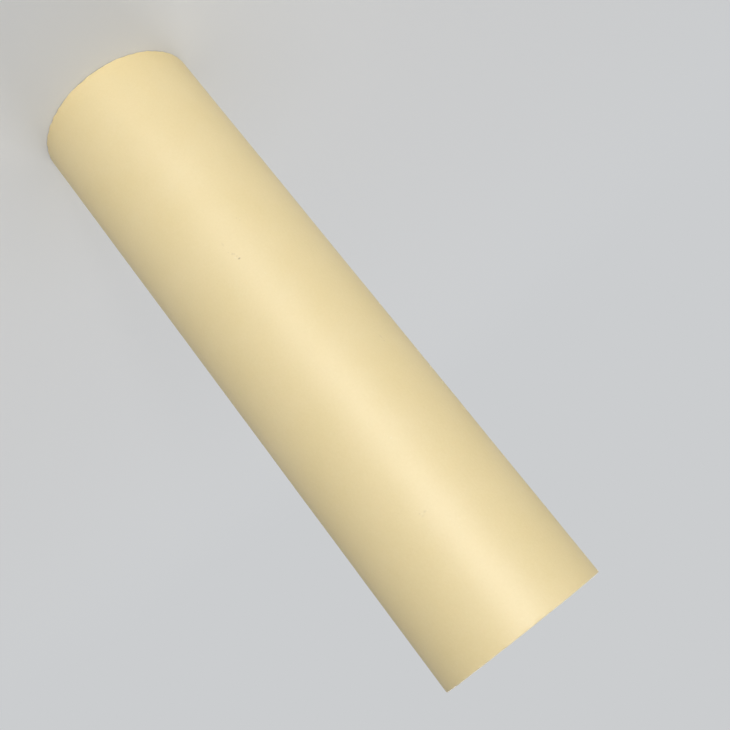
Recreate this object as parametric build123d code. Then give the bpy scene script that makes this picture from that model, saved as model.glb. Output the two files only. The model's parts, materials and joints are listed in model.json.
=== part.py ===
# Alumina ceramic tube: one straight, open, round wall, pressed, fired and cut square at both ends.
# It stands on one end. The origin is the centre of that end, +Z runs up the bore, and sizes are millimetres.
from build123d import *
import os

# Driving dimensions
bore_diameter = 80.0  # clear way through the tube
wall_thickness = 12.0  # the same all round and all the way up
tube_length = 400.0  # from one sawn end to the other
rim_round = 0.6  # radius stoned on the outer corner of each sawn end
bore_chamfer = 1.0  # 45 degree lead-in ground on the bore's corner of each sawn end

bore_radius = bore_diameter / 2


def wall_section():
    """The wall's section on one side of the axis, with its outer corners rounded and its bore corners chamfered."""
    with BuildSketch(Plane.XZ) as section:
        with Locations((bore_radius, 0)):
            Rectangle(wall_thickness, tube_length, align=(Align.MIN, Align.MIN))
        corners_by_radius = section.vertices().group_by(Axis.X)
        bore_corners, outer_corners = corners_by_radius[0], corners_by_radius[-1]
        fillet(outer_corners, radius=rim_round)
        chamfer(bore_corners, length=bore_chamfer)
    return section.sketch


def ceramic_tube():
    """The tube is its wall's section turned once round the bore's axis."""
    with BuildPart() as tube:
        revolve(wall_section(), axis=Axis.Z)
    return tube.part


os.makedirs("parts", exist_ok=True)
export_step(ceramic_tube(), "parts/ceramic_tube.step")
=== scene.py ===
# A pressed and fired alumina tube, standing on one sawn end on a plain pale floor.
# Lengths are metres and +Z runs up the bore from the end the tube stands on.
import json
import math

import bpy
import numpy as np
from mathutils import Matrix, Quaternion, Vector


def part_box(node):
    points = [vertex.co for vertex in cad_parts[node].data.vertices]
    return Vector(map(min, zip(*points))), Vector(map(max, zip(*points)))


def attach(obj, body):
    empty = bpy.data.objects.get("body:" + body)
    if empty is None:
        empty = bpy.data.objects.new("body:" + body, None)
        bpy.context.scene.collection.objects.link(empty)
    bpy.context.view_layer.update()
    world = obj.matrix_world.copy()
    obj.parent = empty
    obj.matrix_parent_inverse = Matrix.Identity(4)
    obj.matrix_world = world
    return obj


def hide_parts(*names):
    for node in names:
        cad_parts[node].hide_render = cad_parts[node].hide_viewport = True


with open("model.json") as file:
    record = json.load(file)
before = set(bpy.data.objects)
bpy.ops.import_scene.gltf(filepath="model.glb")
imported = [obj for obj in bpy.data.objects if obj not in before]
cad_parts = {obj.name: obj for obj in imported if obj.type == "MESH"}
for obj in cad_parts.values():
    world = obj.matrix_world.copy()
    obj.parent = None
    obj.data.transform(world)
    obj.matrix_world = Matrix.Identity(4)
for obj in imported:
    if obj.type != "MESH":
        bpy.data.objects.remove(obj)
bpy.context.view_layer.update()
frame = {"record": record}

MM = 0.001

# The tube's sizes, from the frame
foot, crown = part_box("ceramic_tube")
tube_length = crown.z - foot.z
outer_radius = (crown.x - foot.x) / 2
bore_mount = next(m for m in frame["record"]["mounts"] if m["name"] == "bore")
bore_radius = bore_mount["dims"]["r_mm"] * MM
bore_chamfer = (tube_length - bore_mount["dims"]["length_mm"] * MM) / 2

# Small forms of the corners
rim_round = 0.6 * MM  # stoned outer corner of each sawn end
chamfer_wear = 0.25 * MM  # soft edge on both sides of the bore's chamfer

# Relief, all of it pressed in from the true size
wall_ripple = 0.16 * MM  # slow unevenness of the fired wall
face_ripple = 0.2 * MM  # waves that the blade left in a sawn face
nick_spacing = 7.0 * MM  # along the rim, from one shallow flake to the next
nick_depth = 0.5 * MM  # of the deepest flake
nick_reach = 1.2 * MM  # how far from the corner a flake runs out

# Density of the mesh: columns round the bore, and rows on each part of the wall's section
COLUMNS = 480
WALL_ROWS = 100
BORE_ROWS = 30
FACE_ROWS = 14
CHAMFER_ROWS = 2
CORNER_ROWS = 6


# The tube's mesh

def eased(start, end, count):
    """Points on the straight run from start to end, crowded towards both: as t goes from 0 to 1, the share
    run is (1 - cos(pi t)) / 2."""
    share = (1 - np.cos(np.pi * np.linspace(0, 1, count + 2)[1:-1])) / 2
    return start + share[:, None] * (end - start)


def arc_at(corner, before, after, radius, count):
    """Points on the arc of that radius that touches both runs at a corner.
    The arc starts on the first run, radius * tan(half the turn) short of the corner, and a point on it lies
    at sin(a) along the first run and 1 - cos(a) across it, in radii, as a goes from 0 to the whole turn."""
    along = (corner - before) / np.linalg.norm(corner - before)
    leaving = (after - corner) / np.linalg.norm(after - corner)
    turn = math.acos(float(np.clip(along @ leaving, -1, 1)))
    across = (leaving - along * math.cos(turn)) / math.sin(turn)
    start = corner - along * radius * math.tan(turn / 2)
    a = np.linspace(0, turn, count)[:, None]
    return start + radius * (np.sin(a) * along + (1 - np.cos(a)) * across)


def wall_profile():
    """The wall's closed section as rows of (radius, height), going up the outside, across the top, down the
    bore and back across the foot. Each row also gets the name of the finish that starts there."""
    corners = np.array([
        (outer_radius, 0),
        (outer_radius, tube_length),
        (bore_radius + bore_chamfer, tube_length),
        (bore_radius, tube_length - bore_chamfer),
        (bore_radius, bore_chamfer),
        (bore_radius + bore_chamfer, 0),
    ])
    radii = [rim_round, rim_round, chamfer_wear, chamfer_wear, chamfer_wear, chamfer_wear]
    runs = [
        ("skin", WALL_ROWS),
        ("sawn", FACE_ROWS),
        ("sawn", CHAMFER_ROWS),
        ("bore", BORE_ROWS),
        ("sawn", CHAMFER_ROWS),
        ("sawn", FACE_ROWS),
    ]
    points, finishes = [], []
    count = len(corners)
    for i, (finish, rows) in enumerate(runs):
        corner, after = corners[i], corners[(i + 1) % count]
        bend = arc_at(corner, corners[i - 1], after, radii[i], CORNER_ROWS)
        ahead = arc_at(after, corner, corners[(i + 2) % count], radii[(i + 1) % count], CORNER_ROWS)
        straight = eased(bend[-1], ahead[0], rows)
        points += [bend, straight]
        finishes += ["sawn"] * (CORNER_ROWS - 1) + [finish] * (rows + 1)
    return np.concatenate(points), np.array(finishes)


def outward(profile):
    """Unit normals of a closed profile: each is the chord between its neighbours, turned outwards."""
    chord = np.roll(profile, -1, axis=0) - np.roll(profile, 1, axis=0)
    chord /= np.linalg.norm(chord, axis=1)[:, None]
    return np.stack([chord[:, 1], -chord[:, 0]], axis=1)


def ripples(angle, along, whole, seed, count, turns, wave):
    """A sum of cosine waves over the surface, from -1 to 0. Each is cos(n angle + 2 pi m along / whole +
    phase), where along is the way round the section and whole is its length. n and m are whole numbers, so
    that the surface closes on itself both ways, and m is drawn so that a usual wave is about wave long."""
    rng = np.random.default_rng(seed)
    n = rng.integers(turns[0], turns[1] + 1, count)
    m = np.round(rng.normal(0, whole / wave, count))
    phase = rng.uniform(0, 2 * math.pi, count)
    size = rng.uniform(0.5, 1, count) / np.sqrt(1 + n)
    waves = size * np.cos(n * angle[..., None] + 2 * math.pi * m * along[..., None] / whole + phase)
    total = waves.sum(-1)
    return (total - total.max()) / np.ptp(total)


def nicks(angle, seed):
    """How deep the rim is flaked at each angle, from 0 to 1. Each flake is the bowl
    depth * (1 - (distance / half width) ** 2), and where bowls overlap the deepest counts."""
    rng = np.random.default_rng(seed)
    count = round(2 * math.pi * outer_radius / nick_spacing)
    centre = (np.arange(count) + rng.uniform(-0.25, 0.25, count)) * 2 * math.pi / count
    half_width = rng.uniform(0.35, 0.6, count) * nick_spacing
    depth = rng.uniform(0.25, 1, count)
    apart = (angle[:, None] - centre + math.pi) % (2 * math.pi) - math.pi
    bowls = depth * (1 - (apart * outer_radius / half_width) ** 2)
    return np.clip(bowls.max(axis=1), 0, None)


def tube_surface():
    """The section carried once round the bore: the point at (row, angle) is the section's point, moved
    inwards along its normal by the relief, at (radius cos angle, radius sin angle, height)."""
    profile, finishes = wall_profile()
    normal = outward(profile)
    angle = np.linspace(0, 2 * math.pi, COLUMNS, endpoint=False)
    radius, height = profile.T
    step = np.linalg.norm(np.roll(profile, -1, axis=0) - profile, axis=1)
    whole = step.sum()
    around, along = np.meshgrid(angle, np.cumsum(step) - step)
    upright = np.abs(normal[:, :1]) ** 4  # 1 on the wall and in the bore, 0 on the sawn faces
    wall = ripples(around, along, whole, seed=3, count=14, turns=(0, 7), wave=70 * MM) * wall_ripple
    faces = ripples(around, along, whole, seed=5, count=20, turns=(12, 46), wave=60 * MM) * face_ripple
    relief = wall * upright + faces * (1 - upright)
    for seed, end in ((11, 0.0), (12, tube_length)):
        reach = np.hypot(radius - outer_radius, height - end) / nick_reach
        relief -= nick_depth * np.exp(-reach ** 2)[:, None] * nicks(angle, seed)
    r = radius[:, None] + normal[:, :1] * relief
    z = height[:, None] + normal[:, 1:] * relief
    points = np.stack([r * np.cos(around), r * np.sin(around), z], axis=-1)
    return points, finishes


def closed_grid(name, points, materials, row_material):
    """A mesh of four-sided faces over a grid of points that closes on itself both ways."""
    rows, columns = points.shape[:2]
    row, column = np.meshgrid(np.arange(rows), np.arange(columns), indexing="ij")
    up, along = (row + 1) % rows, (column + 1) % columns
    faces = np.stack([
        row * columns + column,
        row * columns + along,
        up * columns + along,
        up * columns + column,
    ], axis=-1).reshape(-1, 4)
    mesh = bpy.data.meshes.new(name)
    mesh.from_pydata(points.reshape(-1, 3), [], faces)
    for material in materials:
        mesh.materials.append(material)
    mesh.polygons.foreach_set("material_index", np.repeat(row_material, columns).astype(np.int32))
    mesh.polygons.foreach_set("use_smooth", np.ones(len(faces), bool))
    mesh.update()
    piece = bpy.data.objects.new(name, mesh)
    bpy.context.scene.collection.objects.link(piece)
    return piece


# Materials

def linear(hex_colour):
    """An sRGB hex colour as linear red, green, blue and alpha."""
    shares = [int(hex_colour[i:i + 2], 16) / 255 for i in (1, 3, 5)]
    return [s / 12.92 if s <= 0.04045 else ((s + 0.055) / 1.055) ** 2.4 for s in shares] + [1.0]


def per_metre(size):
    """The scale of a noise whose pattern changes about once in that size."""
    return 1.0 / size


def add(tree, kind, settings=None, **inputs):
    """Adds a node. settings are its properties, and inputs its sockets by name, with _ for a space and a
    number after in_ for a socket without a name of its own. An input is a value or another node's output."""
    made = tree.nodes.new(kind)
    for name, value in (settings or {}).items():
        setattr(made, name, value)
    for name, value in inputs.items():
        key = int(name[3:]) if name.startswith("in_") else name.replace("_", " ")
        socket = made.inputs[key]
        if isinstance(value, bpy.types.NodeSocket):
            tree.links.new(value, socket)
        else:
            socket.default_value = value
    return made


def new_material(name):
    """A material with that name and its node tree, still empty."""
    material = bpy.data.materials.new(name)
    material.use_nodes = True
    material.node_tree.nodes.clear()
    return material, material.node_tree


# What every surface of the fired body shares: light sinks in about a millimetre and comes back warmer
ALUMINA_BODY = {
    "IOR": 1.76,
    "Subsurface_Weight": 0.1,
    "Subsurface_Radius": (1.0, 0.8, 0.5),
    "Subsurface_Scale": 1.5 * MM,
}

# Gloss of the three finishes. A pair of roughnesses is the finish's lowest and highest
SKIN_GLOSS = 0.9  # specular level: the dense fired skin has a paler, broader highlight than a cut face
SKIN_ROUGHNESS = 0.56, 0.63
BORE_ROUGHNESS = 0.46, 0.54
SAWN_ROUGHNESS = 0.68

# The fired body's colours
BODY_SHADE = "#EFD99D"  # ivory, where the skin's clouds are deepest, and the painted shade down in the bore's draw lines
BODY_PALE = "#F3DEA7"  # where they are lightest
SAWN_BODY = "#F3E4C0"  # inside of the wall, which fires paler than its skin
SAWN_GROOVE_SHADE = "#ECDAB0"  # painted shade: the sawn body darkened down in the blade's marks
IRON_AND_PIT_SHADE = "#7A5526"  # fleck or rubbed-in dirt, and the painted shade at a pinhole's edge
WHITE_FLECK_AND_PIT_GLINT = "#FFF6E2"  # grain that stayed free of iron, and the painted highlight on a pinhole's floor

# Sizes of the patterns
cloud_size = 42 * MM
grain_size = 1.4 * MM  # real grain is some 5 microns, so this is drawn coarser to show
grain_weight = 0.8  # of the grain in its sum with a broader pattern, which has a weight of 1
mottle_range = 0.62, 1.18  # sum of clouds and grain where the ivory is darkest and palest
peel_size = 2.4 * MM
peel_depth = 0.09 * MM
blade_radius = 200 * MM
hub_to_bore = blade_radius, blade_radius / 4  # from the blade's hub to the bore's axis, seen along the bore
saw_mark_spacing = 1.5 * MM  # real marks lie about 0.4 mm apart, so these are drawn coarser to show
saw_mark_depth = 0.03 * MM
draw_line_width = 1.6 * MM
draw_line_stretch = 50  # how many times longer than wide
draw_line_depth = 0.02 * MM
spot_depth = 1 * MM  # how far into the wall a mark reaches, well short of the bore


def wall_spot(tree, place, angle, height, width, length):
    """1 in the middle of a soft oval on the outer wall, 0 from its edge outwards, with its length up the
    tube. It falls with the distance to the middle, in which each direction is divided by the oval's half
    size."""
    a = math.radians(angle)
    local = add(
        tree, "ShaderNodeMapping", {"vector_type": "TEXTURE"},
        Vector=place,
        Location=(outer_radius * math.cos(a), outer_radius * math.sin(a), height),
        Rotation=(0, 0, a),
        Scale=(spot_depth, width / 2, length / 2),
    )
    away = add(tree, "ShaderNodeVectorMath", {"operation": "LENGTH"}, in_0=local.outputs["Vector"])
    return add(
        tree, "ShaderNodeMapRange", {"interpolation_type": "SMOOTHSTEP"},
        Value=away.outputs["Value"], To_Min=1.0, To_Max=0.0,
    ).outputs["Result"]


def wall_marks(tree, place, marks):
    """How far a set of soft ovals covers the wall: the sum of each oval's share times its strength."""
    cover = 0.0
    for angle, height, width, length, strength in marks:
        spot = wall_spot(tree, place, angle, height * MM, width * MM, length * MM)
        cover = add(
            tree, "ShaderNodeMath", {"operation": "MULTIPLY_ADD"}, in_0=spot, in_1=strength, in_2=cover,
        ).outputs[0]
    return cover


# Marks on the outer wall: degrees round from +X, then millimetres up, across and along, and strength
DARK_MARKS = [
    (-93.4, 150.8, 2.3, 1.6, 0.60),  # iron fleck
    (-93.2, 148.8, 1.6, 1.4, 0.15),  # scuff that curves away from it
    (-92.7, 147.0, 1.8, 1.6, 0.14),
    (-91.8, 146.2, 2.2, 2.0, 0.17),
    (-90.4, 144.0, 1.1, 1.4, 0.11),
    (-90.7, 138.3, 1.8, 4.2, 0.09),
    (-107.7, 129.4, 1.0, 1.2, 0.15),  # pair of faint specks
    (-108.7, 131.5, 1.0, 1.2, 0.13),
    (-137.0, 234.1, 0.9, 1.0, 0.30),  # dark point with a streak below it
    (-137.0, 231.2, 1.4, 5.0, 0.12),
    (-88.0, 323.1, 2.9, 2.2, 0.13),  # painted shade at the edge of a pinhole, which the mesh does not cut
    (-84.9, 322.4, 1.3, 1.8, 0.12),
    (-85.8, 324.3, 3.6, 2.0, 0.07),
]
PALE_MARKS = [
    (-91.8, 148.9, 2.0, 1.4, 0.24),  # rubbed place between the fleck and its scuff
    (-109.2, 130.4, 1.2, 1.2, 0.12),  # beside the pair of faint specks
    (-100.5, 166.8, 2.2, 2.6, 0.09),  # loose pale specks
    (-98.7, 282.3, 1.9, 1.4, 0.22),
    (-96.1, 285.4, 1.4, 1.4, 0.08),
    (-86.0, 323.2, 1.3, 1.3, 0.18),  # painted highlight on the floor of the pinhole
    (-89.6, 323.5, 1.6, 1.2, 0.12),
    (-96.7, 334.1, 1.2, 1.2, 0.12),  # loose pale specks near the top end
    (-100.6, 335.9, 1.1, 1.1, 0.16),
    (-97.9, 340.1, 1.2, 1.4, 0.18),
]


def fired_skin():
    """As-fired alumina, pressed in a rubber mould: dry satin and faintly clouded, with flecks and a fine
    orange peel, and a pinhole drawn only in colour, as painted shade round a painted highlight."""
    material, tree = new_material("as_fired_alumina")
    place = add(tree, "ShaderNodeTexCoord").outputs["Object"]
    clouds = add(
        tree, "ShaderNodeTexNoise", Vector=place, Scale=per_metre(cloud_size), Detail=3.0, Roughness=0.6,
    ).outputs["Fac"]
    grain = add(
        tree, "ShaderNodeTexNoise", Vector=place, Scale=per_metre(grain_size), Detail=2.0, Roughness=0.6,
    ).outputs["Fac"]
    mottle = add(
        tree, "ShaderNodeMath", {"operation": "MULTIPLY_ADD"}, in_0=grain, in_1=grain_weight, in_2=clouds,
    ).outputs[0]
    share = add(
        tree, "ShaderNodeMapRange", Value=mottle, From_Min=mottle_range[0], From_Max=mottle_range[1],
    ).outputs["Result"]
    body = add(
        tree, "ShaderNodeMix", {"data_type": "RGBA"},
        in_0=share, in_6=linear(BODY_SHADE), in_7=linear(BODY_PALE),
    ).outputs[2]
    paler = add(
        tree, "ShaderNodeMix", {"data_type": "RGBA"},
        in_0=wall_marks(tree, place, PALE_MARKS), in_6=body, in_7=linear(WHITE_FLECK_AND_PIT_GLINT),
    ).outputs[2]
    colour = add(
        tree, "ShaderNodeMix", {"data_type": "RGBA"},
        in_0=wall_marks(tree, place, DARK_MARKS), in_6=paler, in_7=linear(IRON_AND_PIT_SHADE),
    ).outputs[2]
    peel = add(
        tree, "ShaderNodeTexNoise", Vector=place, Scale=per_metre(peel_size), Detail=3.0, Roughness=0.55,
    ).outputs["Fac"]
    bump = add(tree, "ShaderNodeBump", Strength=0.8, Distance=peel_depth, Height=peel)
    satin = add(
        tree, "ShaderNodeMapRange", Value=grain, To_Min=SKIN_ROUGHNESS[0], To_Max=SKIN_ROUGHNESS[1],
    ).outputs["Result"]
    shader = add(
        tree, "ShaderNodeBsdfPrincipled",
        Base_Color=colour,
        Roughness=satin,
        Specular_IOR_Level=SKIN_GLOSS,
        Normal=bump.outputs["Normal"],
        **ALUMINA_BODY,
    )
    add(tree, "ShaderNodeOutputMaterial", Surface=shader.outputs["BSDF"])
    return material


def sawn_face():
    """Alumina cut with a diamond blade and stoned: paler and drier than the skin, with faint arcs from the
    blade whose grooves are painted darker as shade."""
    material, tree = new_material("sawn_alumina")
    place = add(tree, "ShaderNodeTexCoord").outputs["Object"]
    from_hub = add(
        tree, "ShaderNodeMapping", Vector=place, Location=(*hub_to_bore, 0), Scale=(1, 1, 0),
    ).outputs["Vector"]
    reach = add(tree, "ShaderNodeVectorMath", {"operation": "LENGTH"}, in_0=from_hub)
    arcs = add(
        tree, "ShaderNodeTexNoise", {"noise_dimensions": "1D"},
        W=reach.outputs["Value"], Scale=per_metre(saw_mark_spacing), Detail=2.0, Roughness=0.6,
    ).outputs["Fac"]
    grain = add(
        tree, "ShaderNodeTexNoise", Vector=place, Scale=per_metre(grain_size), Detail=3.0, Roughness=0.7,
    ).outputs["Fac"]
    # painted shade: the colour darkens where the arcs' bump sinks
    colour = add(
        tree, "ShaderNodeMix", {"data_type": "RGBA"},
        in_0=arcs, in_6=linear(SAWN_GROOVE_SHADE), in_7=linear(SAWN_BODY),
    ).outputs[2]
    height = add(
        tree, "ShaderNodeMath", {"operation": "MULTIPLY_ADD"}, in_0=grain, in_1=grain_weight, in_2=arcs,
    ).outputs[0]
    bump = add(tree, "ShaderNodeBump", Strength=0.8, Distance=saw_mark_depth, Height=height)
    shader = add(
        tree, "ShaderNodeBsdfPrincipled",
        Base_Color=colour,
        Roughness=SAWN_ROUGHNESS,
        Normal=bump.outputs["Normal"],
        **ALUMINA_BODY,
    )
    add(tree, "ShaderNodeOutputMaterial", Surface=shader.outputs["BSDF"])
    return material


def bore_skin():
    """The bore's wall, pressed on a polished steel mandrel: the skin's ivory, smoother, with lengthwise draw
    lines whose grooves are painted darker as shade."""
    material, tree = new_material("bore_alumina")
    place = add(tree, "ShaderNodeTexCoord").outputs["Object"]
    stretched = add(
        tree, "ShaderNodeMapping", Vector=place, Scale=(1, 1, 1 / draw_line_stretch),
    ).outputs["Vector"]
    lines = add(
        tree, "ShaderNodeTexNoise",
        Vector=stretched, Scale=per_metre(draw_line_width), Detail=2.0, Roughness=0.5,
    ).outputs["Fac"]
    # painted shade: the ivory darkens where the draw lines' bump sinks
    colour = add(
        tree, "ShaderNodeMix", {"data_type": "RGBA"},
        in_0=lines, in_6=linear(BODY_SHADE), in_7=linear(BODY_PALE),
    ).outputs[2]
    bump = add(tree, "ShaderNodeBump", Strength=0.5, Distance=draw_line_depth, Height=lines)
    satin = add(
        tree, "ShaderNodeMapRange", Value=lines, To_Min=BORE_ROUGHNESS[0], To_Max=BORE_ROUGHNESS[1],
    ).outputs["Result"]
    shader = add(
        tree, "ShaderNodeBsdfPrincipled",
        Base_Color=colour,
        Roughness=satin,
        Normal=bump.outputs["Normal"],
        **ALUMINA_BODY,
    )
    add(tree, "ShaderNodeOutputMaterial", Surface=shader.outputs["BSDF"])
    return material


tube_points, tube_finishes = tube_surface()
materials = {"skin": fired_skin(), "sawn": sawn_face(), "bore": bore_skin()}
row_material = [list(materials).index(finish) for finish in tube_finishes]
tube = closed_grid("fired_tube", tube_points, materials.values(), row_material)
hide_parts("ceramic_tube")
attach(tube, "root")

# Floor and backdrop

BACKDROP = "#CBCDCF"
FLOOR = "#F4F5F6"
floor_reach = 6.0
fade_start, fade_end = 0.1, 1.4  # distances from the tube's axis over which the paper turns to glow
least_glow = 0.25  # share of the glow where the fade starts


def seen(tree):
    """1 for a ray from the camera, off gloss or through glass, and 0 for light on its way."""
    path = add(tree, "ShaderNodeLightPath")
    either = add(
        tree, "ShaderNodeMath", {"operation": "MAXIMUM"},
        in_0=path.outputs["Is Camera Ray"], in_1=path.outputs["Is Glossy Ray"],
    )
    return add(
        tree, "ShaderNodeMath", {"operation": "MAXIMUM"},
        in_0=either.outputs[0], in_1=path.outputs["Is Transmission Ray"],
    ).outputs[0]


def floor_look():
    """Matt pale paper round the object, which melts into the backdrop's glow further out."""
    material, tree = new_material("pale_floor")
    place = add(tree, "ShaderNodeTexCoord").outputs["Object"]
    away = add(tree, "ShaderNodeVectorMath", {"operation": "LENGTH"}, in_0=place)
    fade = add(
        tree, "ShaderNodeMapRange", {"interpolation_type": "SMOOTHSTEP"},
        Value=away.outputs["Value"], From_Min=fade_start, From_Max=fade_end, To_Min=least_glow,
    ).outputs["Result"]
    share = add(tree, "ShaderNodeMath", {"operation": "MULTIPLY"}, in_0=fade, in_1=seen(tree))
    paper = add(tree, "ShaderNodeBsdfDiffuse", Color=linear(FLOOR))
    glow = add(tree, "ShaderNodeEmission", Color=linear(BACKDROP), Strength=1.0)
    mix = add(
        tree, "ShaderNodeMixShader",
        Fac=share.outputs[0], in_1=paper.outputs["BSDF"], in_2=glow.outputs["Emission"],
    )
    add(tree, "ShaderNodeOutputMaterial", Surface=mix.outputs["Shader"])
    return material


def floor_disc():
    """A flat round floor: rings at radius reach * t ** 2 about its centre, closed by a fan in the middle."""
    rings, spokes = 24, 96
    radius = floor_reach * np.linspace(0, 1, rings + 1)[1:] ** 2
    angle = np.linspace(0, 2 * math.pi, spokes, endpoint=False)
    x, y = np.outer(radius, np.cos(angle)), np.outer(radius, np.sin(angle))
    ring_points = np.stack([x, y, np.zeros_like(x)], axis=-1).reshape(-1, 3)
    points = np.concatenate([ring_points, [(0, 0, 0)]])
    first_ring = np.arange(spokes)
    ring, spoke = np.meshgrid(np.arange(rings - 1), first_ring, indexing="ij")
    following = (spoke + 1) % spokes
    quads = np.stack([
        ring * spokes + spoke,
        (ring + 1) * spokes + spoke,
        (ring + 1) * spokes + following,
        ring * spokes + following,
    ], axis=-1).reshape(-1, 4)
    middle = np.full(spokes, rings * spokes)
    fan = np.stack([middle, first_ring, (first_ring + 1) % spokes], axis=-1)
    mesh = bpy.data.meshes.new("floor")
    mesh.from_pydata(points, [], quads.tolist() + fan.tolist())
    mesh.materials.append(floor_look())
    disc = bpy.data.objects.new("floor", mesh)
    bpy.context.scene.collection.objects.link(disc)
    return disc


floor_disc()

# Light, with each level as how bright it makes a white surface that faces it

AMBIENT_LEVEL = 0.29
KEY_LEVEL = 0.53
OVERHEAD_LEVEL = 0.24
BACK_LEVEL = 0.35


def studio_world():
    """Even light from all round, and the backdrop's colour where it is seen."""
    world = bpy.data.worlds.new("studio")
    world.use_nodes = True
    tree = world.node_tree
    tree.nodes.clear()
    light = add(tree, "ShaderNodeBackground", Color=(1, 1, 1, 1), Strength=AMBIENT_LEVEL)
    drop = add(tree, "ShaderNodeBackground", Color=linear(BACKDROP), Strength=1.0)
    mix = add(
        tree, "ShaderNodeMixShader",
        Fac=seen(tree), in_1=light.outputs["Background"], in_2=drop.outputs["Background"],
    )
    add(tree, "ShaderNodeOutputWorld", Surface=mix.outputs["Shader"])
    bpy.context.scene.world = world


def softbox(name, azimuth, elevation, distance, size, level):
    """A square lamp aimed at the tube's middle. Azimuth 0 is the -Y side and turns towards -X.
    level is how bright it makes a white surface that faces it: power = level * pi ** 2 * distance ** 2."""
    lamp = bpy.data.lights.new(name, "AREA")
    lamp.size = size
    lamp.energy = level * math.pi ** 2 * distance ** 2
    a, e = math.radians(azimuth), math.radians(elevation)
    toward = Vector((-math.sin(a) * math.cos(e), -math.cos(a) * math.cos(e), math.sin(e)))
    placed = bpy.data.objects.new(name, lamp)
    placed.rotation_mode = "QUATERNION"
    placed.rotation_quaternion = (-toward).to_track_quat("-Z", "Y")
    placed.location = Vector((0, 0, tube_length / 2)) + toward * distance
    bpy.context.scene.collection.objects.link(placed)


studio_world()
softbox("key", azimuth=12, elevation=0, distance=3.5, size=0.4, level=KEY_LEVEL)
softbox("overhead", azimuth=0, elevation=88, distance=3.0, size=1.6, level=OVERHEAD_LEVEL)
softbox("back_fill", azimuth=180, elevation=20, distance=3.5, size=1.6, level=BACK_LEVEL)

# Camera

camera_from_axis = 590.9 * MM
camera_below_crown = 10.4 * MM
camera_azimuth = 2.21  # degrees that the camera looks towards -X of straight ahead
camera_tilt = -15.21  # degrees above the horizon
camera_roll = 141.51  # degrees that the picture is turned
focal_length = 52.15  # millimetres, as the camera's own settings are
sensor_width = 36.0


def photo_camera():
    """Looks down the tube's near side from just under its top end, rolled so that the tube lies across."""
    data = bpy.data.cameras.new("camera")
    data.lens = focal_length
    data.sensor_width = sensor_width
    data.clip_start = 0.01
    data.clip_end = 50
    camera = bpy.data.objects.new("camera", data)
    a, e = math.radians(camera_azimuth), math.radians(camera_tilt)
    ahead = Vector((-math.sin(a) * math.cos(e), math.cos(a) * math.cos(e), math.sin(e)))
    camera.rotation_mode = "QUATERNION"
    roll = Quaternion((0, 0, 1), math.radians(camera_roll))
    camera.rotation_quaternion = ahead.to_track_quat("-Z", "Y") @ roll
    camera.location = (0, -camera_from_axis, tube_length - camera_below_crown)
    bpy.context.scene.collection.objects.link(camera)
    bpy.context.scene.camera = camera


photo_camera()
bpy.context.scene.view_settings.view_transform = "Standard"

bpy.context.view_layer.update()
